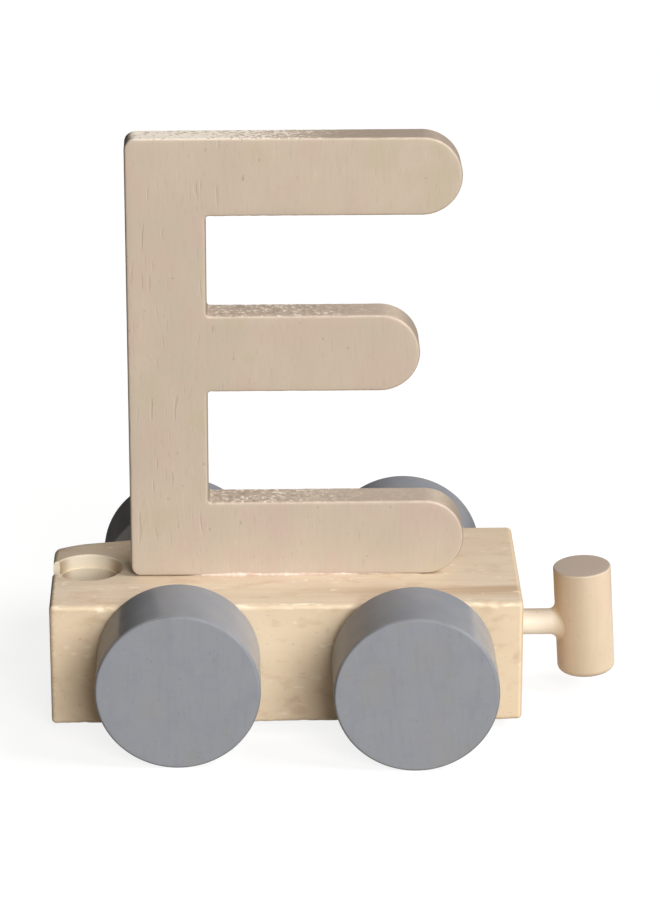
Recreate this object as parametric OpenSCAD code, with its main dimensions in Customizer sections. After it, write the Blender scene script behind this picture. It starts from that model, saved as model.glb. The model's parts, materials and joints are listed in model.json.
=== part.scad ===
// Letter train car: a wooden block on two wheelsets that carries an upright letter E.
// Millimetres, +Z up. The origin lies on the ground under the middle of the overall box.
// +X is the front, where the coupling peg is. The coupling socket is at the rear.
// -Y is the right-hand side of the car, from which the letter reads the right way round.

/* [Base block] */
// Length of the base, without the coupling peg
base_length = 70; // [64:0.5:90]
// Width of the base
base_width = 30; // [24:0.5:40]
// Height of the base
base_height = 19; // [15:0.5:24]
// Radius of the sanded edges of the base
base_edge = 0.7; // [0.4:0.1:2.5]
// Gap between the underside of the base and the ground
ground_clearance = 1.5; // [0.5:0.1:4]

/* [Wheels and axles] */
// Diameter of a wheel
wheel_diameter = 24.2; // [20:0.1:28]
// Width of a wheel
wheel_width = 12.2; // [9:0.1:16]
// Radius of the rounded rim edges of a wheel
wheel_edge = 0.4; // [0.2:0.1:2]
// From the rear end of the base to the rear axle
rear_axle_setback = 19; // [16.5:0.5:22]
// From the rear axle to the front axle
wheel_base = 34.7; // [29:0.1:40]
// Diameter of an axle
axle_diameter = 5; // [3:0.1:6]
// Radial clearance of an axle in the base
axle_clearance = 0.25; // [0.1:0.05:0.5]
// How far an axle is glued into each wheel
axle_seat = 8; // [4:0.5:8.5]
// Gap between the base and each rear wheel
rear_wheel_gap = 0.3; // [0.3:0.1:2]
// Gap between the base and each front wheel when the wheelset is centred
front_wheel_gap = 1.2; // [1.2:0.1:2]
// How far the front wheelset has slid along its axle play, to the right
front_axle_slide = 0.9; // [0:0.1:0.9]

/* [Letter] */
// Height of the letter
letter_height = 68.2; // [60:0.1:80]
// Thickness of the letter
letter_thickness = 5.7; // [5:0.1:10]
// Width of the upright stem
stem_width = 11.7; // [8:0.1:15]
// Height of each bar
bar_height = 11.8; // [9:0.1:14]
// Length of the top bar, from the outer side of the stem to the round end
top_bar_length = 49; // [40:0.1:56]
// Length of the middle bar
middle_bar_length = 43; // [34:0.1:56]
// Length of the bottom bar
bottom_bar_length = 49.7; // [40:0.1:56]
// Gap between the top bar and the middle bar
upper_gap = 15.3; // [11:0.1:19]
// Radius of the two outer corners of the stem
letter_corner = 1.7; // [0.8:0.1:4]
// Radius of the sanded edges round both faces
letter_edge = 0.4; // [0.2:0.1:1.5]
// From the rear end of the base to the outer side of the stem
letter_setback = 11.9; // [11:0.1:16]
// How far the letter stands left of the centre line of the base
letter_offset = -0.9; // [-4:0.1:4]

/* [Letter dowels] */
// Diameter of the two hidden dowels under the letter
letter_dowel_diameter = 3; // [2:0.1:3.5]
// Distance between the two dowels
letter_dowel_spacing = 18; // [12:0.5:24]
// Depth of each dowel in the letter
letter_dowel_rise = 7; // [4:0.5:8]
// Depth of each dowel in the base
letter_dowel_seat = 5; // [3:0.5:5.5]

/* [Coupling] */
// Diameter of the socket
socket_diameter = 10; // [9.8:0.1:10.4]
// From the rear end of the base to the centre of the socket
socket_setback = 5.4; // [5.2:0.1:7]
// Diameter of the coupling dowel
coupling_dowel_diameter = 3.9; // [3:0.1:5]
// Clearance on each side of a coupling dowel in the slot of the socket
slot_clearance = 0.35; // [0.2:0.05:0.6]
// Wood left between the end of the coupling dowel and the bore of the front axle
coupling_web = 3.5; // [2:0.5:6]
// How far the coupling dowel is glued into the peg
peg_seat = 5; // [3:0.5:6]
// Radius of the fillet where the coupling dowel meets the peg
dowel_fillet = 1; // [0.4:0.1:1.6]
// From the front end of the base to the axis of the peg, along the coupling dowel
peg_reach = 10.3; // [9:0.1:14]
// Diameter of the peg
peg_diameter = 8.7; // [7.5:0.1:8.8]
// Length of the peg
peg_length = 16.8; // [13:0.1:17.5]
// How far the middle of the peg sits above the coupling dowel, along the peg
peg_rise = 0.7; // [0:0.1:1]
// Lean of the peg towards the car, in degrees
peg_lean = 3.5; // [0:0.1:3.5]
// Radius of the top edge of the peg
peg_top_edge = 0.25; // [0.1:0.05:0.6]
// Radius of the bottom edge of the peg
peg_bottom_edge = 0.9; // [0.3:0.1:1.5]

/* [Hidden] */
$fn = 64;
// Radial room for glue round every dowel and axle end that is glued in a hole
glue_gap = 0.05;
// How far a cutting shape runs past the face that it opens
past = 1;

// How far the peg reaches in front of its axis, with its lean and its rounded bottom edge
peg_front = (peg_length / 2 - peg_bottom_edge - peg_rise) * sin(peg_lean)
    + (peg_diameter / 2 - peg_bottom_edge) * cos(peg_lean) + peg_bottom_edge;
overall_length = base_length + peg_reach + peg_front;
rear_x = -overall_length / 2;
front_x = rear_x + base_length;
base_top = ground_clearance + base_height;

rear_axle_x = rear_x + rear_axle_setback;
front_axle_x = rear_axle_x + wheel_base;
axle_z = wheel_diameter / 2;

// How far the wheels reach to the left and right of the centre line of the base, and its place in the overall box
left_reach = base_width / 2 + wheel_width + max(rear_wheel_gap, front_wheel_gap - front_axle_slide);
right_reach = base_width / 2 + wheel_width + max(rear_wheel_gap, front_wheel_gap + front_axle_slide);
centre_y = (right_reach - left_reach) / 2;

letter_x = rear_x + letter_setback;
letter_dowel_mid_x = letter_x + bottom_bar_length / 2;
middle_bar_z = letter_height - 2 * bar_height - upper_gap;

socket_x = rear_x + socket_setback;
coupling_z = ground_clearance + base_height / 2;
peg_x = front_x + peg_reach;
slot_width = coupling_dowel_diameter + 2 * slot_clearance;
coupling_seat = front_x - front_axle_x - axle_diameter / 2 - axle_clearance - coupling_web;

pale_wood = [0.88, 0.78, 0.64];
dowel_wood = [0.91, 0.83, 0.69];
taupe_paint = [0.80, 0.72, 0.64];
grey_paint = [0.58, 0.59, 0.61];

// Flat outline: a rectangle with its corner at the origin and round corners
module rounded_rectangle(width, height, radius) {
    translate([radius, 0]) square([width - 2 * radius, height]);
    translate([0, radius]) square([width, height - 2 * radius]);
    for (x = [radius, width - radius], y = [radius, height - radius])
        translate([x, y]) circle(radius);
}

// Extrudes an XZ outline along +Y
module along_y(length) {
    translate([0, length, 0]) rotate([90, 0, 0]) linear_extrude(length) children();
}

// Extrudes a YZ outline along +X
module along_x(length) {
    rotate([90, 0, 90]) linear_extrude(length) children();
}

// Block with round edges: side_radius is on its outline seen along Y, edge on all its other edges
module rounded_block(size, side_radius, edge) {
    intersection() {
        along_y(size.y) rounded_rectangle(size.x, size.z, side_radius);
        along_x(size.x) rounded_rectangle(size.y, size.z, edge);
        linear_extrude(size.z) rounded_rectangle(size.x, size.y, edge);
    }
}

// Disc on the XY plane with round edges, bottom and top
module rounded_disc(diameter, height, bottom_edge, top_edge) {
    radius = diameter / 2;
    rotate_extrude() {
        square([radius - max(bottom_edge, top_edge), height]);
        translate([0, bottom_edge]) square([radius, height - bottom_edge - top_edge]);
        square([radius - bottom_edge, height - top_edge]);
        translate([0, bottom_edge]) square([radius - top_edge, height - bottom_edge]);
        translate([radius - bottom_edge, bottom_edge]) circle(bottom_edge);
        translate([radius - top_edge, height - top_edge]) circle(top_edge);
    }
}

// Cylinder along +X from the origin
module rod_x(diameter, length) {
    rotate([0, 90, 0]) cylinder(d = diameter, h = length);
}

// Cylinder along Y, centred on the origin
module rod_y(diameter, length) {
    rotate([90, 0, 0]) cylinder(d = diameter, h = length, center = true);
}

// Places its children at the two letter dowels, where the letter meets the base
module at_letter_dowels() {
    for (side = [-1, 1])
        translate([letter_dowel_mid_x + side * letter_dowel_spacing / 2, letter_offset, base_top])
            children();
}

// Upright socket, open to the rear through a slot that takes the coupling dowel of the next car
module socket_cut() {
    translate([socket_x, 0, ground_clearance - past])
        cylinder(d = socket_diameter, h = base_height + 2 * past);
    translate([rear_x - past, 0, coupling_z]) {
        rod_x(slot_width, socket_setback + past);
        translate([0, -slot_width / 2, 0])
            cube([socket_setback + past, slot_width, base_top - coupling_z + past]);
    }
}

module base() {
    color(pale_wood) difference() {
        translate([rear_x, -base_width / 2, ground_clearance])
            rounded_block([base_length, base_width, base_height], base_edge, base_edge);
        for (x = [rear_axle_x, front_axle_x])
            translate([x, 0, axle_z])
                rod_y(axle_diameter + 2 * axle_clearance, base_width + 2 * past);
        at_letter_dowels()
            translate([0, 0, -letter_dowel_seat])
                cylinder(d = letter_dowel_diameter + 2 * glue_gap, h = letter_dowel_seat + past);
        translate([front_x - coupling_seat, 0, coupling_z])
            rod_x(coupling_dowel_diameter + 2 * glue_gap, coupling_seat + past);
        socket_cut();
    }
}

// One bar of the letter: it starts inside the stem and ends in a half disc
module bar(length, z) {
    radius = bar_height / 2;
    start = stem_width / 2;
    translate([start, 0, z])
        along_x(length - radius - start)
            rounded_rectangle(letter_thickness, bar_height, letter_edge);
    translate([length - radius, letter_thickness, z + radius])
        rotate([90, 0, 0])
            intersection() {
                rounded_disc(bar_height, letter_thickness, letter_edge, letter_edge);
                translate([0, -bar_height, -past])
                    cube([2 * bar_height, 2 * bar_height, letter_thickness + 2 * past]);
            }
}

module letter() {
    color(taupe_paint) difference() {
        translate([letter_x, letter_offset - letter_thickness / 2, base_top]) {
            rounded_block([stem_width, letter_thickness, letter_height], letter_corner, letter_edge);
            bar(top_bar_length, letter_height - bar_height);
            bar(middle_bar_length, middle_bar_z);
            bar(bottom_bar_length, 0);
        }
        at_letter_dowels()
            translate([0, 0, -past])
                cylinder(d = letter_dowel_diameter + 2 * glue_gap, h = letter_dowel_rise + past);
    }
}

// One hidden dowel, on the rear (-1) or front (1) side of the middle of the letter
module letter_dowel(side) {
    color(dowel_wood)
        translate([letter_dowel_mid_x + side * letter_dowel_spacing / 2, letter_offset,
                   base_top - letter_dowel_seat])
            cylinder(d = letter_dowel_diameter, h = letter_dowel_seat + letter_dowel_rise);
}

// Axle across the base at x, moved along Y by slide, whose wheels stand off the base by gap
module axle(x, gap, slide) {
    color(dowel_wood)
        translate([x, slide, axle_z])
            rod_y(axle_diameter, base_width + 2 * (gap + axle_seat));
}

// Wheel with a blind bore on its inner face; side is 1 on the left (+Y) and -1 on the right
module wheel(x, gap, slide, side) {
    color(grey_paint)
        translate([x, slide + side * (base_width / 2 + gap), axle_z])
            rotate([-90 * side, 0, 0])
                difference() {
                    rounded_disc(wheel_diameter, wheel_width, wheel_edge, wheel_edge);
                    translate([0, 0, -past])
                        cylinder(d = axle_diameter + 2 * glue_gap, h = axle_seat + past);
                }
}

// Places its children in the frame of the peg: its axis is Z, and the coupling dowel meets it at z = 0
module at_peg() {
    translate([peg_x, 0, coupling_z]) rotate([0, -peg_lean, 0]) children();
}

// Coupling dowel, with a fillet that spreads onto the round side of the peg
module coupling_dowel() {
    radius = coupling_dowel_diameter / 2;
    flare_start = peg_diameter / 2 + dowel_fillet;
    color(dowel_wood) {
        translate([front_x - coupling_seat, 0, coupling_z])
            rod_x(coupling_dowel_diameter, coupling_seat + peg_reach - peg_diameter / 2 + peg_seat);
        difference() {
            translate([peg_x, 0, coupling_z]) rotate([0, -90, 0]) rotate_extrude()
                difference() {
                    square([radius + dowel_fillet, flare_start]);
                    translate([radius + dowel_fillet, flare_start]) circle(dowel_fillet);
                }
            at_peg() cylinder(d = peg_diameter, h = 2 * peg_length, center = true);
        }
    }
}

module coupling_peg() {
    color(pale_wood) difference() {
        at_peg()
            translate([0, 0, peg_rise - peg_length / 2])
                rounded_disc(peg_diameter, peg_length, peg_bottom_edge, peg_top_edge);
        translate([peg_x - peg_diameter / 2 - past, 0, coupling_z])
            rod_x(coupling_dowel_diameter + 2 * glue_gap, peg_seat + past);
    }
}

// Sets the centre line of the base in the overall box
module in_place() {
    translate([0, centre_y, 0]) children();
}

in_place() base();
in_place() letter();
in_place() letter_dowel(-1);  // letter_dowel_rear
in_place() letter_dowel(1);  // letter_dowel_front
in_place() axle(rear_axle_x, rear_wheel_gap, 0);  // rear_axle
in_place() wheel(rear_axle_x, rear_wheel_gap, 0, 1);  // rear_left_wheel
in_place() wheel(rear_axle_x, rear_wheel_gap, 0, -1);  // rear_right_wheel
in_place() axle(front_axle_x, front_wheel_gap, -front_axle_slide);  // front_axle
in_place() wheel(front_axle_x, front_wheel_gap, -front_axle_slide, 1);  // front_left_wheel
in_place() wheel(front_axle_x, front_wheel_gap, -front_axle_slide, -1);  // front_right_wheel
in_place() coupling_dowel();
in_place() coupling_peg();
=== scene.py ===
"""Looks of the letter train car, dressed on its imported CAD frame.

+X is the front, where the coupling peg is, +Z is up, and the letter reads the right way round from -Y.
"""
import json
import math

import bmesh
import bpy
from mathutils import Matrix, Vector, geometry, kdtree, noise

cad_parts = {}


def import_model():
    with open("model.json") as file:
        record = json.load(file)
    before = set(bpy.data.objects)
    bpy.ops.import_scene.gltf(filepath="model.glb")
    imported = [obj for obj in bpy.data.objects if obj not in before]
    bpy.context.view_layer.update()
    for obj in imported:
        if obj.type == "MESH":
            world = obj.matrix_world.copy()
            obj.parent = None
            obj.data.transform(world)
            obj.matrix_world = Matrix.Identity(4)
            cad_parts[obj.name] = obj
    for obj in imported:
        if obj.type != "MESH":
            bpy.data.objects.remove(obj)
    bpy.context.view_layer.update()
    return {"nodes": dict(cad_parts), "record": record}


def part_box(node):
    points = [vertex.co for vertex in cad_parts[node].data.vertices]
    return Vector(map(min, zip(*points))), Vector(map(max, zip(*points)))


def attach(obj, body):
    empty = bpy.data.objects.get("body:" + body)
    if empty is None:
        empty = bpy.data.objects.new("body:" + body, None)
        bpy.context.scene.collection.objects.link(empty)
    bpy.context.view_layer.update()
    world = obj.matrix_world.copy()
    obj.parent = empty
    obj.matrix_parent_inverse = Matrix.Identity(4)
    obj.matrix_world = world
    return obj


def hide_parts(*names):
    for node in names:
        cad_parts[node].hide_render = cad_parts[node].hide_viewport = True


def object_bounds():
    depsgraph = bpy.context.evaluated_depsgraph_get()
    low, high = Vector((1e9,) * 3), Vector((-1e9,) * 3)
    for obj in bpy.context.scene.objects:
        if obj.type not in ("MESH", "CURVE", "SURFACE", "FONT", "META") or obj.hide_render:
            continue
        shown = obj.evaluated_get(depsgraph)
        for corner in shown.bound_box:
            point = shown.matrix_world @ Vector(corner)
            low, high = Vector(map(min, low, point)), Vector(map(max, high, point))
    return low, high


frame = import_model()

MM = 0.001

# Camera at the photograph's viewing angle, worked out for an image of 660 x 900 pixels.
# Blender lays the sensor along the longer side of the image
IMAGE_HEIGHT = 900
FOCAL_PIXELS = 4149.4
SENSOR = 36.0
CAMERA_AZIMUTH = math.radians(-1.32)
CAMERA_ELEVATION = math.radians(21.08)
CAMERA_DISTANCE = 618.6 * MM
CAMERA_TARGET = Vector((-0.79, 0.9, 39.11)) * MM

# Sizes of the pieces that the frame's boxes don't give
LETTER_EDGE = 0.4 * MM
LETTER_CORNER = 1.7 * MM
LETTER_INNER_CORNER = 0.5 * MM
STEM_WIDTH = 11.7 * MM
BAR_HEIGHT = 11.8 * MM
MIDDLE_BAR_LENGTH = 43 * MM
TOP_BAR_LENGTH = 49 * MM
UPPER_GAP = 15.3 * MM
BASE_EDGE = 0.7 * MM
AXLE_CLEARANCE = 0.25 * MM
WHEEL_EDGE = 0.4 * MM
AXLE_SEAT = 8 * MM
GLUE_GAP = 0.05 * MM
PEG_RISE = 0.7 * MM
PEG_BOTTOM_EDGE = 0.9 * MM
PEG_TOP_EDGE = 0.25 * MM
DOWEL_DIAMETER = 3.9 * MM
DOWEL_FILLET = 1 * MM
DOWEL_SEAT = 5 * MM
DOWEL_SUNK = 0.3 * MM
SLOT_CLEARANCE = 0.35 * MM
SOCKET_LEDGE_DEPTH = 2.1 * MM
SOCKET_LEDGE = 0.3 * MM
MOUTH_EDGE = 0.3 * MM

# Wear of the block: its top edge at the back is sanded rounder towards the rear, most of all at the corner,
# and its other long edges are uneven. EDGE_WAVES and EDGE_NICKS are the noise's scales, per metre
SANDED_EDGE = 7.5 * MM
SANDED_LENGTH = 31 * MM
CORNER_WEAR = 2.5 * MM
CORNER_LENGTH = 6 * MM
FRONT_EDGE_WEAR = 1.3
EDGE_WAVES = 130
EDGE_NICKS = 650

# Wear of the letter: its top falls to the back, and its end grain is torn, less so towards the bars' ends
TOP_FALL = 0.35 * MM
TORN_DEPTH = 0.07 * MM
TORN_COARSE = 900
TORN_FINE = 2200
ROUGH_LENGTH = 24 * MM
SMOOTH_LENGTH = 38 * MM
SMOOTH_SHARE = 0.8

# Line of glue along the front of the letter's foot: how far its ends stay from the foot's ends, its size and
# place, its unevenness as the noise's scales per metre, and where it tapers and thins, as shares of its
# length
GLUE_START = 8.5 * MM
GLUE_END = 5.5 * MM
GLUE_RADIUS = 0.48 * MM
GLUE_INSET = 0.22 * MM
GLUE_HEIGHT = 0.1 * MM
GLUE_WAVES = 420
GLUE_BLOBS = 1500
GLUE_TAPER = 0.125
GLUE_THIN_FROM = 0.4
GLUE_THIN_OVER = 0.35

# Grain: the rings' widths, where the pith lies, and the block's brown band of latewood
BASE_RINGS = 3.2 * MM
BASE_PITH = 45 * MM
PEG_RINGS = 2.2 * MM
PEG_PITH = Vector((12, 30, 0)) * MM
DOWEL_RINGS = 1.5 * MM
DOWEL_PITH = Vector((12, 12, 12)) * MM
RING_WANDER = 5 * MM
BAND_INSET = 5 * MM
BAND_WIDTH = 2.6 * MM
BAND_WANDER = 4 * MM
BAND_START = 20 * MM
FIBRE_DEPTH = 0.012 * MM
GLUE_RELIEF = 0.05 * MM
WHEEL_GRAIN_SHIFT = 90 * MM
GRAIN_TURNS = {"rear_right_wheel": 0, "front_right_wheel": 4, "rear_left_wheel": 70, "front_left_wheel": 130}

# Scale at which Blender's wave texture draws one ring a metre
ONE_RING = math.pi / 10

# Studio, in metres: each lamp's direction from the car and its power in watts, then the floor, the sky and
# the black cards, which reach from left to right, from near to far, and up
LAMP_DISTANCE = 1.6
LAMP_SIZE = 0.8
KEY_LAMP = ((0.34, -1, 0.46), 20.2)
SIDE_LAMP = ((0.75, -0.18, 0.63), 20.4)
BACK_FILL = ((0.1, 0.99, 0.1), 10.5)
FLOOR_HALF = 6.0
FLOOR_BOUNCE = (0.33, 0.26, 0.18, 1)
FLOOR_SHADE = (0.25, 0.25, 0.25, 1)
FLOOR_GLOW = 0.84
SKY_LIGHT = 0.045
SKY_TINT = (1, 0.78, 0.52, 1)
WHITE = (1, 1, 1, 1)
CARD_BLACK = (0.02, 0.02, 0.02, 1)
CARD_REACH = (-0.35, 0.6, -0.15, 1.0, 0.8)
CARD_GAP = 5 * MM
CARD_RISE = 0.5 * MM

# How fine the meshes are, where flat round faces have their inner ring, as a share of the radius, and how
# far a cutter reaches past the block
ROUND_SEGMENTS = 128
EDGE_STEPS = 6
LETTER_STEP = 0.28 * MM
LETTER_FACE_STEP = 0.8 * MM
BLOCK_STATIONS = 200
GLUE_STEPS = 240
GLUE_SIDES = 10
FACE_RING = 0.5
LEAST_EDGE = 0.02 * MM
CUT_PAST = 2 * MM


def srgb(red, green, blue):
    """Linear colour of an 8-bit screen colour."""
    def linear(value):
        value /= 255
        return value / 12.92 if value <= 0.04045 else ((value + 0.055) / 1.055) ** 2.4
    return (linear(red), linear(green), linear(blue), 1)


# Clear wood: each kind's pale wood, dark rings and end grain, then what marks it, painted light and shade
# among that
BASE_COLORS = (srgb(233, 215, 190), srgb(209, 186, 156), srgb(199, 173, 140))
PEG_COLORS = (srgb(217, 199, 173), srgb(197, 173, 145), srgb(187, 170, 155))
DOWEL_COLORS = (srgb(250, 244, 228), srgb(236, 220, 194), srgb(226, 206, 176))
WOOD_BLUSH = srgb(222, 198, 175)
WOOD_FLECK = srgb(168, 134, 100)
LATEWOOD = srgb(186, 150, 116)
# Along the block's edges: painted shade that dims their highlight, and pale ragged bits, a painted highlight
EDGE_SHADE_WOOD = srgb(208, 184, 152)
EDGE_HIGHLIGHT_WOOD = srgb(250, 237, 213)
# Tone that darkens the block towards its back
DARKER_TO_BACK = srgb(216, 194, 164)
# Paler front and back faces: painted light
FACE_LIGHT_WOOD = srgb(248, 225, 190)
STAINED_WOOD = srgb(208, 178, 146)
# Pale dent marks: painted highlights where dents catch the light
DENT_HIGHLIGHT_WOOD = srgb(252, 240, 216)
FRESH_WOOD = srgb(252, 239, 216)

# Taupe paint on the letter's faces, and on its end grain
TAUPE = srgb(201, 187, 169)
TAUPE_PALE = srgb(206, 191, 173)
TAUPE_PINK = srgb(206, 184, 171)
TAUPE_GREEN = srgb(200, 187, 163)
TAUPE_GRAIN = srgb(178, 157, 136)
TAUPE_STROKE = srgb(220, 203, 180)
TAUPE_PORE = srgb(150, 132, 112)
TAUPE_PIT = srgb(146, 126, 108)
TAUPE_NICK = srgb(160, 142, 123)
# Lighter line on the letter's upward edges: worn paint and painted highlight
TAUPE_EDGE_WEAR_AND_HIGHLIGHT = srgb(232, 213, 192)
# Darker sawn sides: their own brown and painted shade
TAUPE_SIDE_AND_SHADE = srgb(112, 97, 85)
# Dark line along the letter's foot: painted shade in the crease over the block
FOOT_SHADE = srgb(112, 86, 68)
END_DARK = srgb(192, 174, 157)
END_PALE = srgb(209, 191, 173)
END_BARE = srgb(255, 244, 228)
END_HOLLOW = srgb(140, 121, 105)
END_SMOOTH = srgb(197, 180, 163)
END_SHADE = srgb(150, 135, 121)

# Grey paint on the wheels
GREY = srgb(148, 151, 157)
GREY_PALE = srgb(154, 156, 162)
GREY_RIM = srgb(118, 119, 121)
GREY_FACE = srgb(154, 160, 171)
GREY_BLUE = srgb(144, 149, 160)
GREY_WARM = srgb(156, 155, 155)
GREY_STREAK = srgb(130, 132, 136)
GREY_BETWEEN = srgb(160, 160, 162)
GREY_STROKE = srgb(132, 134, 139)
GREY_PORE = srgb(112, 112, 116)
GREY_SPECK = srgb(176, 174, 172)
# Darker edge of the wheel's face: painted shade that dims its highlight
GREY_EDGE_SHADE = srgb(116, 116, 117)

GLUE_PALE = srgb(232, 214, 200)
GLUE_DARK = srgb(206, 178, 158)


class Finish:
    """One material, with short calls for the nodes that the finishes share."""

    def __init__(self, name, specular=0.4):
        self.material = bpy.data.materials.new(name)
        self.material.use_nodes = True
        self.tree = self.material.node_tree
        self.surface = self.tree.nodes["Principled BSDF"]
        self.surface.inputs["Specular IOR Level"].default_value = specular
        self.coordinates = self.node("ShaderNodeTexCoord")
        self.position = self.coordinates.outputs["Object"]
        self.normal = self.split(self.coordinates.outputs["Normal"])

    def node(self, kind, inputs=None, **settings):
        """New node with its settings, and its inputs linked or set."""
        node = self.tree.nodes.new(kind)
        for key, value in settings.items():
            setattr(node, key, value)
        for key, value in (inputs or {}).items():
            self.feed(node.inputs[key], value)
        return node

    def feed(self, socket, value):
        """Links a socket, or sets a plain value."""
        if isinstance(value, bpy.types.NodeSocket):
            self.tree.links.new(value, socket)
        else:
            socket.default_value = value

    def split(self, vector):
        """X, Y and Z of a vector."""
        return self.node("ShaderNodeSeparateXYZ", {"Vector": vector}).outputs

    def math(self, operation, first, second=0.0):
        """Result of one operation on one or two values."""
        return self.node("ShaderNodeMath", {0: first, 1: second}, operation=operation).outputs[0]

    def scaled(self, scale, offset=(0, 0, 0)):
        """Object coordinates times scale, so a noise of scale 1 has features of 1 / scale metres."""
        inputs = {"Vector": self.position, "Scale": scale, "Location": offset}
        return self.node("ShaderNodeMapping", inputs).outputs[0]

    def noise(self, scale, offset=(0, 0, 0), detail=2.0, roughness=0.5):
        """Noise with features of 1 / scale metres along each axis."""
        vector = self.scaled(scale, offset)
        inputs = {"Vector": vector, "Scale": 1.0, "Detail": detail, "Roughness": roughness}
        return self.node("ShaderNodeTexNoise", inputs).outputs[0]

    def step(self, value, low, high, start=0.0, end=1.0):
        """Smooth step of value from low to high, as start to end."""
        inputs = {"Value": value, "From Min": low, "From Max": high, "To Min": start, "To Max": end}
        return self.node("ShaderNodeMapRange", inputs, interpolation_type="SMOOTHSTEP").outputs[0]

    def mix(self, factor, first, second):
        """Blend of two colours, from the first at 0 to the second at 1."""
        return self.node("ShaderNodeMix", {0: factor, 6: first, 7: second}, data_type="RGBA").outputs[2]

    def lay(self, color, tone, share, *masks):
        """Colour with a tone laid over it, by share times the masks."""
        for mask in masks:
            share = self.math("MULTIPLY", share, mask)
        return self.mix(share, color, tone)

    def edge(self, axis):
        """1 where the surface turns halfway between facing along axis and across it."""
        square = self.math("POWER", self.normal[axis], 2.0)
        rest = self.math("SUBTRACT", 1.0, square)
        return self.math("MULTIPLY", self.math("MULTIPLY", square, rest), 4.0)

    def facing(self, axis, low=0.5, high=0.9):
        """1 where the surface faces along axis, either way."""
        return self.step(self.math("ABSOLUTE", self.normal[axis]), low, high)

    def rim(self, low, high, width):
        """1 along the edges of a box, fading out to its flat sides over width."""
        gaps = []
        for part, least, most in zip(self.split(self.position), low, high):
            from_middle = self.math("ABSOLUTE", self.math("SUBTRACT", part, (least + most) / 2))
            gaps.append(self.math("SUBTRACT", (most - least) / 2, from_middle))
        near = self.math("MINIMUM", gaps[0], gaps[1])
        far = self.math("MAXIMUM", gaps[0], gaps[1])
        second = self.math("MAXIMUM", near, self.math("MINIMUM", far, gaps[2]))
        return self.step(second, width / 4, width, 1.0, 0.0)

    def finish(self, color, roughness, bump, distance):
        """Joins colour, roughness and a bump height in metres of distance to the surface."""
        self.feed(self.surface.inputs["Base Color"], color)
        self.feed(self.surface.inputs["Roughness"], roughness)
        inputs = {"Height": bump, "Distance": distance, "Strength": 1.0}
        self.feed(self.surface.inputs["Normal"], self.node("ShaderNodeBump", inputs).outputs[0])
        return self.material


def along(axis, lengthwise, across):
    """Scale of a pattern drawn out along one axis."""
    return tuple(lengthwise if letter == axis else across for letter in "XYZ")


def wood(name, axis, colors, pith, ring_width, ring_share, marks=None):
    """Clear lacquered wood with its grain along axis and its growth rings round the pith."""
    pale, dark, end = colors
    look = Finish(name, specular=0.3)
    look.surface.inputs["Coat Weight"].default_value = 0.06
    look.surface.inputs["Coat Roughness"].default_value = 0.3
    warp = look.noise(along(axis, 25, 130), detail=1.0)
    wander = look.math("MULTIPLY", look.math("SUBTRACT", warp, 0.5), RING_WANDER)
    from_pith = look.scaled((1, 1, 1), tuple(-part for part in pith))
    shifted = look.node("ShaderNodeVectorMath", {0: from_pith, 1: wander}, operation="ADD").outputs[0]
    waves = {"Vector": shifted, "Scale": ONE_RING / ring_width, "Distortion": 1.2, "Detail": 2.0,
             "Detail Scale": 1.0}
    rings = look.node("ShaderNodeTexWave", waves, wave_type="RINGS", rings_direction=axis,
                      wave_profile="SAW").outputs[1]
    fibres = look.noise(along(axis, 70, 1700), detail=3.0)
    fine = look.noise(along(axis, 240, 5200), detail=2.0)
    cloud = look.noise(along(axis, 60, 150), detail=2.0)
    flecks = look.step(look.noise(along(axis, 1300, 2600), offset=(3, 5, 7)), 0.66, 0.76)
    blush = look.noise(along(axis, 70, 220), offset=(6, 2, 9), detail=2.0)
    share = look.math("MULTIPLY", look.math("POWER", rings, 2.0), ring_share)
    share = look.math("ADD", share, look.step(fibres, 0.35, 0.75, 0.0, 0.1))
    share = look.math("ADD", share, look.step(cloud, 0.3, 0.75, 0.0, 0.3))
    color = look.mix(share, pale, dark)
    color = look.lay(color, WOOD_BLUSH, look.step(blush, 0.42, 0.68, 0.0, 0.5))
    if marks:
        color = marks(look, color)
    color = look.lay(color, WOOD_FLECK, 0.3, flecks)
    specks = look.step(look.noise((3600, 3600, 3600)), 0.45, 0.7)
    end_color = look.lay(end, dark, 0.3, specks)
    color = look.lay(color, end_color, look.facing("XYZ".index(axis)))
    roughness = look.step(fibres, 0.3, 0.8, 0.4, 0.52)
    height = look.math("ADD", fibres, look.math("MULTIPLY", fine, 0.5))
    return look.finish(color, roughness, height, FIBRE_DEPTH)


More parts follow.
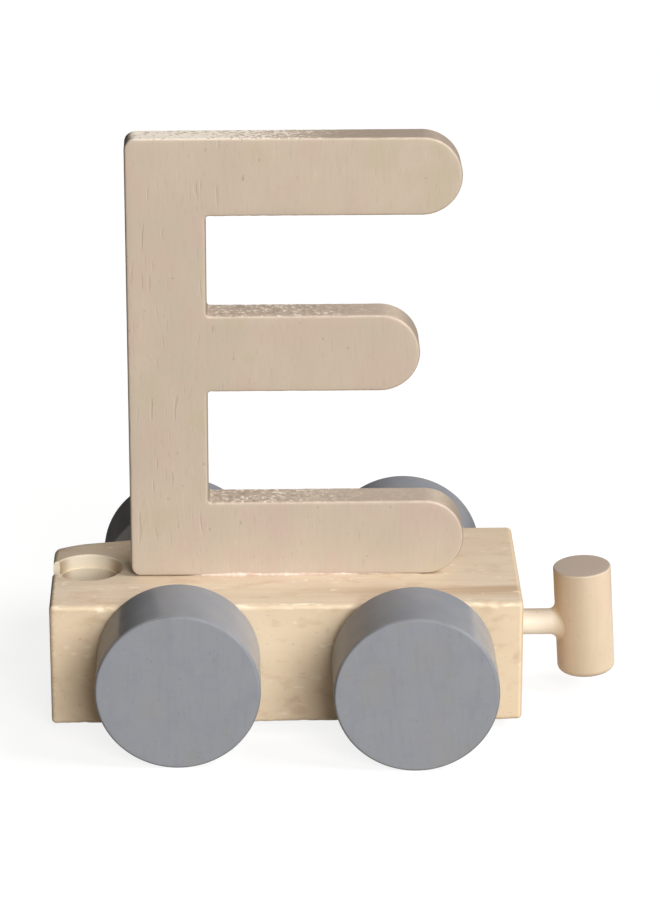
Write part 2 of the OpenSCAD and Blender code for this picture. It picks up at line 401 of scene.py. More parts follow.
def base_marks(look, color):
    """On the block alone: latewood, stains, a darker back, fresh cuts, and painted shade and highlights on
    edges and dents.
    """
    low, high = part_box("base")
    place = look.split(look.position)
    wander = look.math("SUBTRACT", look.noise((45, 200, 200), detail=2.0), 0.5)
    line = look.math("ADD", place[1], look.math("MULTIPLY", wander, BAND_WANDER))
    distance = look.math("ABSOLUTE", look.math("SUBTRACT", line, low.y + BAND_INSET))
    band = look.step(distance, 0, BAND_WIDTH, 1.0, 0.0)
    grow = look.step(place[0], low.x + BAND_START, high.x, 0.05, 0.75)
    ragged = look.step(look.noise((60, 1500, 1500), offset=(5, 1, 1), detail=2.0), 0.3, 0.65, 0.35, 1.0)
    color = look.lay(color, LATEWOOD, band, grow, ragged, look.facing(2))
    # Painted shade along the edges dims their highlight, and ragged painted highlights break it up, except
    # at the front end
    rim = look.rim(low, high, 1.1 * MM)
    color = look.lay(color, EDGE_SHADE_WOOD, 0.5, rim)
    highlight_breaks = look.noise((330, 1500, 1500), offset=(2, 9, 3), detail=3.0)
    off_front = look.step(place[0], high.x - 2 * MM, high.x - 1 * MM, 1.0, 0.0)
    color = look.lay(color, EDGE_HIGHLIGHT_WOOD, look.step(highlight_breaks, 0.5, 0.62, 0.0, 0.8), off_front, rim)
    # Darker towards the back
    color = look.lay(color, DARKER_TO_BACK, look.step(place[1], low.y + 6 * MM, high.y, 0.0, 0.45))
    # Painted light: the front and back faces made paler
    color = look.lay(color, FACE_LIGHT_WOOD, 0.5, look.facing(1))
    stains = look.noise((240, 420, 420), offset=(1, 7, 2), detail=3.0)
    color = look.lay(color, STAINED_WOOD, look.step(stains, 0.52, 0.72, 0.0, 0.48))
    # Painted highlights on dents
    dents = look.noise((500, 900, 900), offset=(8, 3, 4), detail=1.0)
    color = look.lay(color, DENT_HIGHLIGHT_WOOD, look.step(dents, 0.67, 0.76, 0.0, 0.5))
    return look.lay(color, FRESH_WOOD, look.math("MAXIMUM", *socket_walls(look, place)))


def socket_walls(look, place):
    """Shares of fresh wood in the socket's bore and in its slot, each to a little past its wall."""
    socket = mount("coupling_socket")
    centre = Vector(socket["pos_m"])
    across = look.math("POWER", look.math("SUBTRACT", place[0], centre.x), 2.0)
    along_y = look.math("POWER", look.math("SUBTRACT", place[1], centre.y), 2.0)
    radius = look.math("SQRT", look.math("ADD", across, along_y))
    aside = look.math("ABSOLUTE", look.math("SUBTRACT", place[1], centre.y))
    bore_wall = socket["dims"]["r_mm"] * MM
    slot_wall = DOWEL_DIAMETER / 2 + SLOT_CLEARANCE
    bore, slot = [look.step(measure, wall + 0.1 * MM, wall + 0.35 * MM, 0.95, 0.0)
                  for measure, wall in ((radius, bore_wall), (aside, slot_wall))]
    return bore, look.math("MULTIPLY", slot, look.step(place[0], centre.x - 1 * MM, centre.x, 1.0, 0.0))


def letter_paint():
    """Taupe paint on upright grain: smooth with a few nicks on its faces, rough and worn on end grain."""
    look = Finish("taupe_paint", specular=0.25)
    low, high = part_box("letter")
    place = look.split(look.position)
    cloud = look.noise((140, 140, 70), detail=2.0)
    tint = look.noise((190, 190, 160), offset=(9, 4, 2), detail=1.0)
    grain = look.noise((2100, 2100, 240), detail=3.0)
    strokes = look.noise((2400, 2400, 330), offset=(5, 3, 6), detail=1.0)
    pores = look.step(look.noise((2700, 2700, 560), offset=(2, 8, 1), detail=1.0), 0.66, 0.76)
    pits = look.step(look.noise((1300, 1300, 1000), offset=(7, 7, 3), detail=0.0), 0.82, 0.88)
    nicks = look.step(look.noise((2000, 2000, 300), offset=(3, 1, 8), detail=0.0), 0.7, 0.84)
    stem = low.x + STEM_WIDTH
    nicks = look.math("MULTIPLY", nicks, look.step(place[0], stem - 2 * MM, stem + 6 * MM, 1.0, 0.3))
    color = look.mix(look.step(cloud, 0.3, 0.7), TAUPE, TAUPE_PALE)
    color = look.lay(color, TAUPE_PINK, look.step(tint, 0.5, 0.72, 0.0, 0.6))
    color = look.lay(color, TAUPE_GREEN, look.step(tint, 0.28, 0.47, 0.6, 0.0))
    color = look.lay(color, TAUPE_GRAIN, look.step(grain, 0.45, 0.75, 0.0, 0.1))
    brushed = look.step(cloud, 0.45, 0.65)
    color = look.lay(color, TAUPE_STROKE, look.step(strokes, 0.62, 0.72, 0.0, 0.3), brushed)
    color = look.lay(color, TAUPE_PORE, 0.14, pores)
    color = look.lay(color, TAUPE_PIT, 0.35, pits)
    color = look.lay(color, TAUPE_NICK, 0.12, nicks)
    color = look.lay(color, end_grain_color(look, place, low, high), look.facing(2, 0.6, 0.9))
    # Lighter ragged line on upward-facing edges: worn paint and painted highlight
    ragged = look.step(look.noise((700, 900, 900), offset=(1, 1, 5)), 0.35, 0.7, 0.1, 0.6)
    upward = look.step(look.normal[2], 0.2, 0.6)
    color = look.lay(color, TAUPE_EDGE_WEAR_AND_HIGHLIGHT, look.edge(1), ragged, upward)
    # Sawn sides darker: their own brown and painted shade
    color = look.lay(color, TAUPE_SIDE_AND_SHADE, 0.65, look.facing(0, 0.3, 0.85))
    # Painted shade along the crease at the letter's foot
    color = look.lay(color, FOOT_SHADE, look.step(place[2], low.z + 0.1 * MM, low.z + 0.4 * MM, 0.6, 0.0))
    roughness = look.step(grain, 0.3, 0.8, 0.52, 0.62)
    dents = look.math("ADD", pits, look.math("MULTIPLY", nicks, 3.0))
    return look.finish(color, roughness, look.math("SUBTRACT", grain, dents), FIBRE_DEPTH)


def end_grain_color(look, place, low, high):
    """Colour of the letter's sawn faces: bare torn fibres near the stem, most of all on top."""
    fibres = look.noise((1500, 1500, 1500), offset=(4, 4, 4), detail=2.0, roughness=0.6)
    broad = look.noise((90, 200, 90), offset=(2, 6, 1), detail=1.0)
    on_top = look.step(place[2], high.z - 4 * MM, high.z - 2 * MM)
    worn = look.math("MULTIPLY", on_top, look.step(place[0], low.x + 10 * MM, low.x + 32 * MM, 0.19, 0.0))
    sound = look.step(place[0], low.x + ROUGH_LENGTH, low.x + SMOOTH_LENGTH, 0.0, 0.12)
    bare = look.math("ADD", look.math("ADD", fibres, worn), look.math("MULTIPLY", broad, 0.2))
    bare = look.math("SUBTRACT", bare, sound)
    color = look.mix(look.step(bare, 0.46, 0.66), END_DARK, END_PALE)
    color = look.lay(color, END_BARE, look.step(bare, 0.66, 0.76))
    color = look.lay(color, END_HOLLOW, look.step(bare, 0.42, 0.5, 0.3, 0.0))
    smooth = look.step(place[0], low.x + ROUGH_LENGTH, low.x + SMOOTH_LENGTH, 0.0, 0.7)
    color = look.lay(color, END_SMOOTH, smooth)
    shade = look.step(place[0], low.x + 20 * MM, low.x + 36 * MM, 0.0, 0.5)
    return look.lay(color, END_SHADE, shade, on_top)


def wheel_paint():
    """Grey satin paint on a disc whose grain runs across its face, with a darker and glossier rim."""
    look = Finish("grey_paint", specular=0.15)
    look.position = look.node("ShaderNodeAttribute", attribute_name="grain").outputs["Vector"]
    face = look.facing(1, 0.6, 0.95)
    cloud = look.noise((170, 170, 80), detail=2.0)
    patches = look.noise((330, 330, 280), offset=(9, 4, 2), detail=2.0)
    warm = look.noise((260, 260, 190), offset=(3, 7, 5), detail=2.0)
    streaks = look.noise((1300, 1300, 170), detail=3.0)
    strokes = look.noise((420, 420, 1900), offset=(4, 1, 6), detail=2.0)
    pores = look.step(look.noise((2400, 2400, 1100), offset=(2, 8, 1), detail=1.0), 0.69, 0.78)
    specks = look.step(look.noise((1500, 1500, 1500), offset=(6, 2, 8), detail=1.0), 0.72, 0.77)
    color = look.mix(look.step(cloud, 0.3, 0.7), GREY, GREY_PALE)
    color = look.lay(color, GREY_RIM, look.step(face, 0.0, 1.0, 0.15, 0.0))
    color = look.lay(color, GREY_FACE, 0.5, face)
    color = look.lay(color, GREY_BLUE, look.step(patches, 0.48, 0.68, 0.0, 0.4))
    color = look.lay(color, GREY_WARM, look.step(warm, 0.5, 0.7, 0.0, 0.45))
    for pattern, low, high, share, tone in (
            (streaks, 0.48, 0.75, 0.15, GREY_STREAK),
            (streaks, 0.45, 0.25, 0.28, GREY_BETWEEN),
            (strokes, 0.55, 0.75, 0.08, GREY_STROKE),
            (pores, 0.0, 1.0, 0.2, GREY_PORE),
            (specks, 0.0, 1.0, 0.35, GREY_SPECK)):
        color = look.lay(color, tone, look.step(pattern, low, high, 0.0, share), face)
    # Painted shade on the face's edge dims its highlight
    color = look.lay(color, GREY_EDGE_SHADE, look.edge(1), look.step(cloud, 0.35, 0.65, 0.75, 0.35))
    matt = look.step(look.facing(1, 0.03, 0.3), 0.0, 1.0, 0.2, 0.46)
    roughness = look.math("ADD", matt, look.step(patches, 0.3, 0.8, 0.0, 0.05))
    return look.finish(color, roughness, look.math("MULTIPLY", streaks, face), FIBRE_DEPTH)


def glue_finish():
    """Dried wood glue with a little dust in it."""
    look = Finish("dried_glue", specular=0.5)
    blots = look.noise((500, 900, 900), detail=2.0)
    color = look.mix(look.step(blots, 0.35, 0.7), GLUE_PALE, GLUE_DARK)
    return look.finish(color, look.step(blots, 0.3, 0.7, 0.3, 0.5), blots, GLUE_RELIEF)


def add_object(name, data):
    """Puts a new object with this data into the scene."""
    piece = bpy.data.objects.new(name, data)
    bpy.context.scene.collection.objects.link(piece)
    return piece


def to_mesh(name, bm):
    """Mesh of a closed bmesh, which is freed."""
    bmesh.ops.recalc_face_normals(bm, faces=bm.faces)
    data = bpy.data.meshes.new(name)
    bm.to_mesh(data)
    bm.free()
    return data


def show(name, mesh, material, body, slot, *nodes, sharp=35):
    """Makes a mesh a smooth-shaded piece that rides on a body and stands for the CAD nodes named."""
    mesh.shade_smooth()
    mesh.set_sharp_from_angle(angle=math.radians(sharp))
    mesh.materials.clear()
    mesh.materials.append(material)
    piece = add_object(name, mesh)
    weighted = piece.modifiers.new("even_shading", "WEIGHTED_NORMAL")
    weighted.keep_sharp = True
    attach(piece, body)
    if nodes:
        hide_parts(*nodes)
    return piece


def clamp(value):
    """Value kept between 0 and 1."""
    return min(1, max(0, value))


def arc(centre, radius, start, end, steps=EDGE_STEPS):
    """Points of an arc, its angles in degrees."""
    angles = [math.radians(start + (end - start) * step / steps) for step in range(steps + 1)]
    return [(centre[0] + radius * math.cos(angle), centre[1] + radius * math.sin(angle)) for angle in angles]


def full_turn(steps):
    """Even angles round a circle."""
    return [2 * math.pi * step / steps for step in range(steps)]


def bridge(bm, rings):
    """Joins each closed ring of vertices to the next with faces."""
    for first, second in zip(rings, rings[1:]):
        for index in range(len(first)):
            after = (index + 1) % len(first)
            bm.faces.new((first[index], first[after], second[after], second[index]))


def close(bm, rings):
    """Closes the first ring and the last one with a flat face each."""
    bm.faces.new(rings[0])
    bm.faces.new(rings[-1])


def lathe(profile, matrix):
    """Closed surface of revolution about Z through (radius, height) points, moved by matrix."""
    bm = bmesh.new()
    turns = full_turn(ROUND_SEGMENTS)
    rings = []
    for radius, height in profile:
        angles = turns if radius > 1e-9 else turns[:1]
        rings.append([bm.verts.new(matrix @ Vector((radius * math.cos(a), radius * math.sin(a), height)))
                      for a in angles])
    for lower, upper in zip(rings, rings[1:]):
        for step in range(ROUND_SEGMENTS):
            after = (step + 1) % ROUND_SEGMENTS
            corners = [lower[step % len(lower)], lower[after % len(lower)],
                       upper[after % len(upper)], upper[step % len(upper)]]
            bm.faces.new(list(dict.fromkeys(corners)))
    return bm


def rod(start, end, radius):
    """Round bar between two points."""
    run = end - start
    turn = Vector((0, 0, 1)).rotation_difference(run).to_matrix().to_4x4()
    profile = [(0, 0), (radius, 0), (radius, run.length), (0, run.length)]
    return lathe(profile, Matrix.Translation(start) @ turn)


def rounded_outline(corners, spacing):
    """(point, outward normal) samples of a closed outline, anticlockwise through (x, z, radius) corners."""
    samples = []
    points = [Vector(corner[:2]) for corner in corners]
    for index, (corner, (_, _, radius)) in enumerate(zip(points, corners)):
        to_last = (points[index - 1] - corner).normalized()
        to_next = (points[(index + 1) % len(points)] - corner).normalized()
        first = corner + to_last * radius
        centre = first + to_next * radius
        turn = 1 if to_last.x * to_next.y - to_last.y * to_next.x < 0 else -1
        if samples:
            samples += straight(samples[-1][0], first, spacing)
        steps = max(EDGE_STEPS, round(radius * math.pi / 2 / spacing))
        for step in range(steps + 1):
            angle = math.pi / 2 * step / steps
            outward = -to_next * math.cos(angle) - to_last * math.sin(angle)
            samples.append((centre + outward * radius, outward * turn))
    samples += straight(samples[-1][0], samples[0][0], spacing)
    return samples


def straight(start, end, spacing):
    """Samples between two points of an anticlockwise outline, without the points."""
    run = end - start
    outward = Vector((run.y, -run.x)).normalized()
    steps = round(run.length / spacing)
    return [(start + run * step / steps, outward) for step in range(1, steps)]


def letter_outline():
    """Outline of the letter E in x and z, with round bar ends."""
    low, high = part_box("letter")
    stem = low.x + STEM_WIDTH
    end = BAR_HEIGHT / 2
    bars = [(low.z, high.x), (high.z - 2 * BAR_HEIGHT - UPPER_GAP, low.x + MIDDLE_BAR_LENGTH),
            (high.z - BAR_HEIGHT, low.x + TOP_BAR_LENGTH)]
    corners = [(low.x, low.z, LETTER_CORNER)]
    for bottom, tip in bars:
        if bottom > low.z:
            corners.append((stem, bottom, LETTER_INNER_CORNER))
        corners += [(tip, bottom, end), (tip, bottom + BAR_HEIGHT, end)]
        if bottom < bars[-1][0]:
            corners.append((stem, bottom + BAR_HEIGHT, LETTER_INNER_CORNER))
    corners.append((low.x, high.z, LETTER_CORNER))
    return rounded_outline(corners, LETTER_STEP)


def torn_fibres(point, start):
    """Depth of torn end grain at a point of a letter that begins at x = start, less at the bars' ends."""
    smooth = clamp((point.x - start - ROUGH_LENGTH) / (SMOOTH_LENGTH - ROUGH_LENGTH))
    coarse = noise.noise(point * TORN_COARSE)
    fine = noise.noise(point * TORN_FINE)
    return max(0, 0.35 + coarse * 0.7 + fine * 0.4) * TORN_DEPTH * (1 - SMOOTH_SHARE * smooth)


def cap(bm, samples, ring, y):
    """Closes one end of the letter with an even net of triangles."""
    tree = kdtree.KDTree(len(samples))
    for index, vert in enumerate(ring):
        tree.insert((vert.co.x, vert.co.z, 0), index)
    tree.balance()
    rim = [Vector((vert.co.x, vert.co.z)) for vert in ring]
    low = Vector((min(p.x for p in rim), min(p.y for p in rim)))
    high = Vector((max(p.x for p in rim), max(p.y for p in rim)))
    margin = 0.6 * LETTER_FACE_STEP
    inner = []
    for column in range(1, int((high.x - low.x) / LETTER_FACE_STEP) + 1):
        for row in range(1, int((high.y - low.y) / LETTER_FACE_STEP) + 1):
            point = low + Vector((column, row)) * LETTER_FACE_STEP
            _, nearest, _ = tree.find((point.x, point.y, 0))
            if (rim[nearest] - point).dot(samples[nearest][1]) > margin:
                inner.append(point)
    loop = [(index, (index + 1) % len(rim)) for index in range(len(rim))]
    points, _, faces, origins, _, _ = geometry.delaunay_2d_cdt(rim + inner, loop, [], 1, 1e-9)
    verts = [ring[origin[0]] if origin and origin[0] < len(ring) else bm.verts.new((point.x, y, point.y))
             for point, origin in zip(points, origins)]
    for face in faces:
        bm.faces.new([verts[index] for index in face])


def letter():
    """The letter: one board with rounded front and back edges, and torn end grain on its level faces."""
    low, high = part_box("letter")
    samples = letter_outline()
    front = [(LETTER_EDGE - x, low.y + LETTER_EDGE - z) for x, z in arc((0, 0), LETTER_EDGE, 90, 0)]
    back = [(inset, low.y + high.y - y) for inset, y in reversed(front)]
    depth = high.y - low.y - 2 * LETTER_EDGE
    steps = round(depth / LETTER_STEP)
    flat = [(0, low.y + LETTER_EDGE + depth * step / steps) for step in range(1, steps)]
    bm = bmesh.new()
    rows = []
    for inset, y in front + flat + back:
        row = []
        for point, outward in samples:
            spot = Vector((point.x, y, point.y))
            share = max(0, abs(outward.y) * 2 - 1) * (1 - inset / LETTER_EDGE)
            relief = torn_fibres(spot, low.x) * share
            if point.y > high.z - BAR_HEIGHT / 2:
                relief += TOP_FALL * max(0, outward.y) * (y - low.y) / (high.y - low.y)
            place = point - outward * (inset + relief)
            row.append(bm.verts.new((place.x, y, place.y)))
        rows.append(row)
    bridge(bm, rows)
    cap(bm, samples, rows[0], low.y)
    cap(bm, samples, rows[-1], high.y)
    mesh = to_mesh("letter_board", bm)
    show("letter_board", mesh, letter_paint(), "car", "taupe_paint", "letter", sharp=60)


def cut_away(body, cutters):
    """The mesh of body with the cutters cut out of it. All of the objects are deleted."""
    for tool in cutters:
        modifier = body.modifiers.new(tool.name, "BOOLEAN")
        modifier.operation = "DIFFERENCE"
        modifier.solver = "EXACT"
        modifier.object = tool
    bpy.context.view_layer.update()
    depsgraph = bpy.context.evaluated_depsgraph_get()
    mesh = bpy.data.meshes.new_from_object(body.evaluated_get(depsgraph))
    for piece in [body] + cutters:
        bpy.data.objects.remove(piece)
    return mesh


def mount(name):
    """The record's mount of that name."""
    return next(item for item in frame["record"]["mounts"] if item["name"] == name)


def socket_cutter(low, high):
    """Upright socket with a small ledge below its softened mouth."""
    socket = mount("coupling_socket")
    radius = socket["dims"]["r_mm"] * MM
    ledge = high.z - SOCKET_LEDGE_DEPTH
    lip = arc((radius + MOUTH_EDGE, high.z - MOUTH_EDGE), MOUTH_EDGE, 180, 90)
    narrow = radius - SOCKET_LEDGE
    profile = [(0, low.z - CUT_PAST), (narrow, low.z - CUT_PAST), (narrow, ledge), (radius, ledge)]
    profile += lip + [(radius + MOUTH_EDGE, high.z + CUT_PAST), (0, high.z + CUT_PAST)]
    x, y, _ = socket["pos_m"]
    return lathe(profile, Matrix.Translation((x, y, 0)))


def slot_cutter(low, high):
    """Slot from the socket to the rear end, with a half-round bottom and a softened mouth."""
    middle = Vector(mount("coupling_socket")["pos_m"])
    half = DOWEL_DIAMETER / 2 + SLOT_CLEARANCE
    right = arc((half + MOUTH_EDGE, high.z - MOUTH_EDGE), MOUTH_EDGE, 180, 90)
    right.append((half + MOUTH_EDGE, high.z + CUT_PAST))
    left = [(-y, z) for y, z in reversed(right)]
    outline = right + left + arc((0, middle.z), half, 180, 360, 4 * EDGE_STEPS)
    bm = bmesh.new()
    ends = [[bm.verts.new((x, middle.y + y, z)) for y, z in outline] for x in (low.x - CUT_PAST, middle.x)]
    close(bm, ends)
    bridge(bm, ends)
    return bm


def worn_edge(x, row):
    """Radius of the block's edge at x, sanded by hand and a little uneven, from its own row of the noise."""
    slow = noise.noise(Vector((x * EDGE_WAVES, row, 0.4)))
    nicks = max(0, noise.noise(Vector((x * EDGE_NICKS, row, 2.6))) - 0.2)
    return BASE_EDGE * (0.9 + 0.35 * slow + 0.9 * nicks)


def block_section(low, high, inset, sanded, x):
    """Outline of the block at x, inset from its sides, with its top edge at the back rounded by sanded."""
    corners = [(low.y, low.z, 1, 1, worn_edge(x, 1), 180),
               (high.y, low.z, -1, 1, worn_edge(x, 9), 270),
               (high.y, high.z, -1, -1, sanded, 0),
               (low.y, high.z, 1, -1, FRONT_EDGE_WEAR * worn_edge(x, 5), 90)]
    outline = []
    for y, z, towards_y, towards_z, radius, start in corners:
        radius = max(radius - inset, LEAST_EDGE)
        centre = (y + towards_y * (inset + radius), z + towards_z * (inset + radius))
        outline += arc(centre, radius, start, start + 90, 2 * EDGE_STEPS)
    return outline


def block(low, high):
    """Block with rounded edges, whose top edge at the back is sanded rounder towards the rear end."""
    rear = [(low.x + BASE_EDGE + x, BASE_EDGE + y) for x, y in arc((0, 0), BASE_EDGE, 180, 270)]
    front = [(low.x + high.x - x, inset) for x, inset in reversed(rear)]
    length = front[0][0] - rear[-1][0]
    middle = [(rear[-1][0] + length * step / BLOCK_STATIONS, 0) for step in range(1, BLOCK_STATIONS)]
    bm = bmesh.new()
    rings = []
    for x, inset in rear + middle + front:
        share = clamp(1 - (x - low.x) / SANDED_LENGTH)
        share = share * share * (3 - 2 * share)
        sanded = BASE_EDGE + (SANDED_EDGE - BASE_EDGE) * share
        sanded += CORNER_WEAR * max(0, 1 - (x - low.x) / CORNER_LENGTH) ** 2
        outline = block_section(low, high, inset, sanded, x)
        rings.append([bm.verts.new((x, y, z)) for y, z in outline])
    bridge(bm, rings)
    close(bm, rings)
    return bm


def base():
    """The block, with its socket, slot and axle bores cut out."""
    low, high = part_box("base")
    shapes = {"block": block(low, high), "socket": socket_cutter(low, high), "slot": slot_cutter(low, high)}
    for axle in ("rear_axle", "front_axle"):
        axle_low, axle_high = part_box(axle)
        centre = (axle_low + axle_high) / 2
        reach = Vector((0, high.y - low.y, 0))
        radius = (axle_high.z - axle_low.z) / 2 + AXLE_CLEARANCE
        shapes[axle + "_bore"] = rod(centre - reach, centre + reach, radius)
    body, *cutters = [add_object(name, to_mesh(name, bm)) for name, bm in shapes.items()]
    mesh = cut_away(body, cutters)
    pith = (0, high.y + BASE_PITH, (low.z + high.z) / 2)
    finish = wood("base_wood", "X", BASE_COLORS, pith, BASE_RINGS, 0.2, base_marks)
    show("base_block", mesh, finish, "car", "natural_wood", "base", sharp=40)


def wheel_profile(radius, width, bore):
    """Half section of a wheel about Z, from the bottom of its bore at its inner face to its outer face."""
    rim = radius - WHEEL_EDGE
    inner = arc((rim, WHEEL_EDGE), WHEEL_EDGE, -90, 0)
    outer = arc((rim, width - WHEEL_EDGE), WHEEL_EDGE, 0, 90)
    outer += [(rim * FACE_RING, width), (0, width)]
    return [(0, AXLE_SEAT), (bore, AXLE_SEAT), (bore, 0)] + inner + outer


def wheels():
    """Four painted discs, each with its grain at its own angle in an attribute that turns with it."""
    paint = wheel_paint()
    for number, (node, turn) in enumerate(GRAIN_TURNS.items()):
        low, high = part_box(node)
        end = node.split("_")[0]
        axle_low, axle_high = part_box(end + "_axle")
        side = 1 if low.y > 0 else -1
        bore = (axle_high.z - axle_low.z) / 2 + GLUE_GAP
        centre = (low + high) / 2
        inner_face = Vector((centre.x, low.y if side > 0 else high.y, centre.z))
        stand = Matrix.Translation(inner_face) @ Matrix.Rotation(math.radians(-90 * side), 4, "X")
        profile = wheel_profile((high.z - low.z) / 2, high.y - low.y, bore)
        mesh = to_mesh(node + "_disc", lathe(profile, stand))
        piece = show(node + "_disc", mesh, paint, end + "_wheelset", "grey_paint", node)
        grain = piece.data.attributes.new("grain", "FLOAT_VECTOR", "POINT")
        turned = Matrix.Rotation(math.radians(turn), 3, "Y")
        for vert, value in zip(piece.data.vertices, grain.data):
            value.vector = turned @ (vert.co - centre) + Vector((number * WHEEL_GRAIN_SHIFT, 0, 0))


def coupling_peg():
    """The upright peg, which leans a little towards the car."""
    peg = mount("coupling_peg")
    radius = peg["dims"]["r_mm"] * MM
    length = peg["dims"]["length_mm"] * MM
    middle = Vector(peg["pos_m"])
    up = -Vector(peg["axis"])
    lean = Matrix.Translation(middle) @ Vector((0, 0, 1)).rotation_difference(up).to_matrix().to_4x4()
    bottom = PEG_RISE - length / 2
    top = bottom + length
    profile = [(0, bottom), (radius * FACE_RING, bottom)]
    profile += arc((radius - PEG_BOTTOM_EDGE, bottom + PEG_BOTTOM_EDGE), PEG_BOTTOM_EDGE, -90, 0)
    profile += arc((radius - PEG_TOP_EDGE, top - PEG_TOP_EDGE), PEG_TOP_EDGE, 0, 90)
    profile += [(radius * FACE_RING, top), (0, top)]
    pith = (middle.x + PEG_PITH.x, middle.y + PEG_PITH.y, 0)
    finish = wood("peg_wood", "Z", PEG_COLORS, pith, PEG_RINGS, 0.1)
    show("peg", to_mesh("peg", lathe(profile, lean)), finish, "car", "natural_wood", "coupling_peg")


def coupling_dowel():
    """The dowel that runs out of the front end, flared on to the peg's round side."""
    peg = mount("coupling_peg")
    peg_radius = peg["dims"]["r_mm"] * MM
    middle = Vector(peg["pos_m"])
    lean = math.atan2(peg["axis"][0], -peg["axis"][2])
    radius = DOWEL_DIAMETER / 2
    turns = full_turn(ROUND_SEGMENTS)
    flare = arc((radius + DOWEL_FILLET, DOWEL_FILLET), DOWEL_FILLET, 180, 270)
    flare.append((radius + DOWEL_FILLET, -DOWEL_SUNK))
    seat = Vector((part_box("base")[1].x - DOWEL_SEAT, middle.y, middle.z))
    bm = bmesh.new()
    rings = [[bm.verts.new(seat + Vector((0, math.cos(a), math.sin(a))) * radius) for a in turns]]
    for reach, back in flare:
        ring = []
        for angle in turns:
            y = reach * math.cos(angle)
            z = reach * math.sin(angle)
            side = (math.sqrt(peg_radius ** 2 - y ** 2) + z * math.sin(lean)) / math.cos(lean)
            ring.append(bm.verts.new((middle.x - side - back, middle.y + y, middle.z + z)))
        rings.append(ring)
    bridge(bm, rings)
    close(bm, rings)
    mesh = to_mesh("coupling_rod", bm)
    show("coupling_rod", mesh, dowel_wood("dowel_wood", "X"), "car", "dowel_wood", "coupling_dowel")


def dowel_wood(name, axis):
    """Pale straight-grained wood of the round rods."""
    return wood(name, axis, DOWEL_COLORS, DOWEL_PITH, DOWEL_RINGS, 0.15)


def rods():
    """The CAD solids that show only in the gaps: both axles and the two dowels in the letter's foot."""
    finishes = {"axle": dowel_wood("axle_wood", "Y"), "letter_dowel": dowel_wood("letter_dowel_wood", "Z")}
    for node, piece in frame["nodes"].items():
        for kind, finish in finishes.items():
            if kind in node:
                piece.data.materials.clear()
                piece.data.materials.append(finish)


def glue_bead():
    """Uneven line of glue, pressed out along the front of the letter's foot, thinner to the right."""
    low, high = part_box("letter")
    start = low.x + GLUE_START
    end = high.x - GLUE_END
    turns = full_turn(GLUE_SIDES)
    bm = bmesh.new()
    rings = []
    for step in range(GLUE_STEPS + 1):
        share = step / GLUE_STEPS
        x = start + (end - start) * share
        taper = min(1, share / GLUE_TAPER, (1 - share) / GLUE_TAPER)
        slow = noise.noise(Vector((x * GLUE_WAVES, 0.3, 0)))
        quick = noise.noise(Vector((x * GLUE_BLOBS, 2, 0)))
        swell = 0.8 + 0.5 * slow + 0.25 * quick
        thin = 1 - 0.5 * clamp((share - GLUE_THIN_FROM) / GLUE_THIN_OVER)
        radius = GLUE_RADIUS * max(0.12, swell) * max(taper, 0.03) * thin
        centre = Vector((x, low.y + GLUE_INSET, low.z + GLUE_HEIGHT))
        rings.append([bm.verts.new(centre + Vector((0, math.cos(a), math.sin(a))) * radius) for a in turns])
    bridge(bm, rings)
    close(bm, rings)
    show("glue_bead", to_mesh("glue_bead", bm), glue_finish(), "car", "taupe_paint", sharp=80)


def stage_sheet(name, corners, material):
    """Flat four-cornered sheet that belongs to the studio."""
    data = bpy.data.meshes.new(name)
    data.from_pydata(corners, [], [(0, 1, 2, 3)])
    data.materials.append(material)
    piece = add_object(name, data)
    return piece


def seen_rays(tree):
    """1 for the rays that show a background: from the camera, mirrored or through glass."""
    path = tree.nodes.new("ShaderNodeLightPath")
    total = path.outputs["Is Camera Ray"]
    for name in ("Is Glossy Ray", "Is Transmission Ray"):
        most = tree.nodes.new("ShaderNodeMath")
        most.operation = "MAXIMUM"
        tree.links.new(total, most.inputs[0])
        tree.links.new(path.outputs[name], most.inputs[1])
        total = most.outputs[0]
    return total


def floor():
    """Pale floor, white to the camera where it is lit, that keeps the car's shadow."""
    material = bpy.data.materials.new("floor")
    material.use_nodes = True
    tree = material.node_tree
    tree.nodes.clear()
    plain = tree.nodes.new("ShaderNodeBsdfDiffuse")
    plain.inputs["Color"].default_value = FLOOR_BOUNCE
    shade = tree.nodes.new("ShaderNodeBsdfDiffuse")
    shade.inputs["Color"].default_value = FLOOR_SHADE
    glow = tree.nodes.new("ShaderNodeEmission")
    glow.inputs["Strength"].default_value = FLOOR_GLOW
    white = tree.nodes.new("ShaderNodeAddShader")
    tree.links.new(shade.outputs[0], white.inputs[0])
    tree.links.new(glow.outputs[0], white.inputs[1])
    mix = tree.nodes.new("ShaderNodeMixShader")
    tree.links.new(seen_rays(tree), mix.inputs[0])
    tree.links.new(plain.outputs[0], mix.inputs[1])
    tree.links.new(white.outputs[0], mix.inputs[2])
    output = tree.nodes.new("ShaderNodeOutputMaterial")
    tree.links.new(mix.outputs[0], output.inputs["Surface"])
    half = FLOOR_HALF
    stage_sheet("floor", [(-half, -half, 0), (half, -half, 0), (half, half, 0), (-half, half, 0)], material)


def world():
    """White to look at, and a dim warm light on the object."""
    sky = bpy.data.worlds.new("studio")
    sky.use_nodes = True
    bpy.context.scene.world = sky
    tree = sky.node_tree
    background = tree.nodes["Background"]
    seen = seen_rays(tree)
    strength = tree.nodes.new("ShaderNodeMapRange")
    strength.inputs["To Min"].default_value = SKY_LIGHT
    strength.inputs["To Max"].default_value = 1.0
    tree.links.new(seen, strength.inputs["Value"])
    tree.links.new(strength.outputs[0], background.inputs["Strength"])
    tint = tree.nodes.new("ShaderNodeMix")
    tint.data_type = "RGBA"
    tint.inputs[6].default_value = SKY_TINT
    tint.inputs[7].default_value = WHITE
    tree.links.new(seen, tint.inputs[0])
    tree.links.new(tint.outputs[2], background.inputs["Color"])


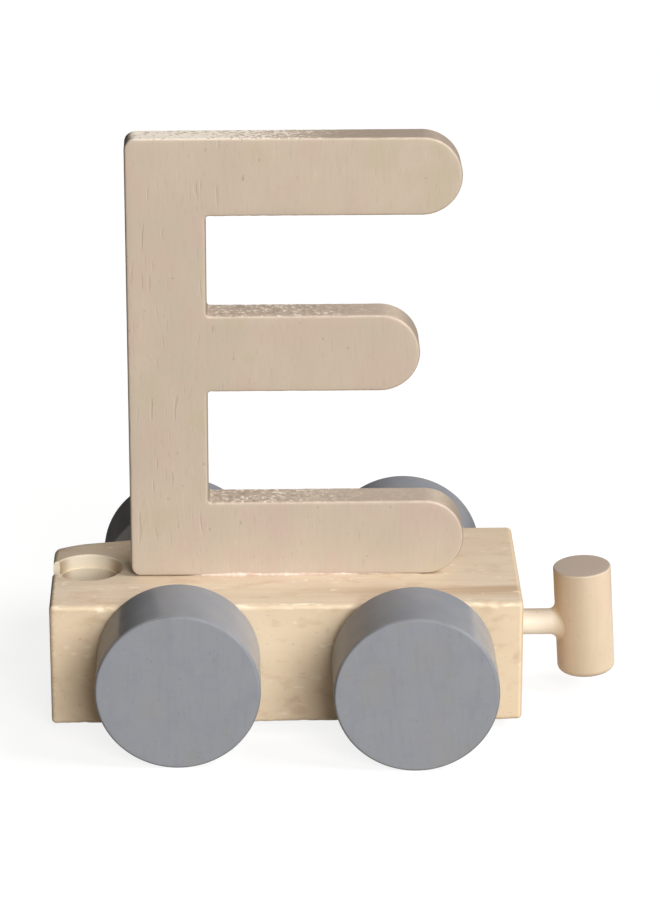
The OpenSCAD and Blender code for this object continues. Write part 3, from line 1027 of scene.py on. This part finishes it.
def dark_cards():
    """Black cards on the left, behind and on the floor there, for reflections. The left one shades too."""
    material = bpy.data.materials.new("dark_card")
    material.use_nodes = True
    surface = material.node_tree.nodes["Principled BSDF"]
    surface.inputs["Base Color"].default_value = CARD_BLACK
    surface.inputs["Roughness"].default_value = 0.9
    left, right, near, far, height = CARD_REACH
    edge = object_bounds()[1].y + CARD_GAP
    flat = CARD_RISE
    cards = {
        "left_card": [(left, near, 0), (left, far, 0), (left, far, height), (left, near, height)],
        "back_card": [(left, far, 0), (right, far, 0), (right, far, height), (left, far, height)],
        "floor_card": [(left, edge, flat), (right, edge, flat), (right, far, flat), (left, far, flat)],
    }
    for name, corners in cards.items():
        piece = stage_sheet(name, corners, material)
        piece.visible_camera = False
        piece.visible_shadow = False
        piece.visible_diffuse = name == "left_card"


def lamp(name, direction, power):
    """Square soft light that shines on the middle of the car."""
    data = bpy.data.lights.new(name, "AREA")
    data.size = LAMP_SIZE
    data.energy = power
    piece = add_object(name, data)
    towards = Vector(direction).normalized()
    piece.location = CAMERA_TARGET + towards * LAMP_DISTANCE
    piece.rotation_euler = towards.to_track_quat("Z", "Y").to_euler()
    piece.visible_camera = False
    return piece


def lights():
    """A key beside the photograph's camera, a light high on the right, and a fill behind without shine."""
    lamp("key", *KEY_LAMP)
    lamp("side", *SIDE_LAMP)
    fill = lamp("back_fill", *BACK_FILL)
    fill.visible_glossy = False


def camera():
    """The photograph's camera, on the letter's reading side, above it and a little to the left."""
    data = bpy.data.cameras.new("camera")
    data.sensor_width = SENSOR
    data.lens = FOCAL_PIXELS * SENSOR / IMAGE_HEIGHT
    piece = add_object("camera", data)
    level = math.cos(CAMERA_ELEVATION)
    back = Vector((math.sin(CAMERA_AZIMUTH) * level, -math.cos(CAMERA_AZIMUTH) * level,
                   math.sin(CAMERA_ELEVATION)))
    piece.location = CAMERA_TARGET + back * CAMERA_DISTANCE
    piece.rotation_euler = back.to_track_quat("Z", "Y").to_euler()
    bpy.context.scene.camera = piece


bpy.context.scene.view_settings.view_transform = "Standard"
camera()
world()
lights()
dark_cards()
floor()
base()
letter()
wheels()
coupling_peg()
coupling_dowel()
rods()
glue_bead()
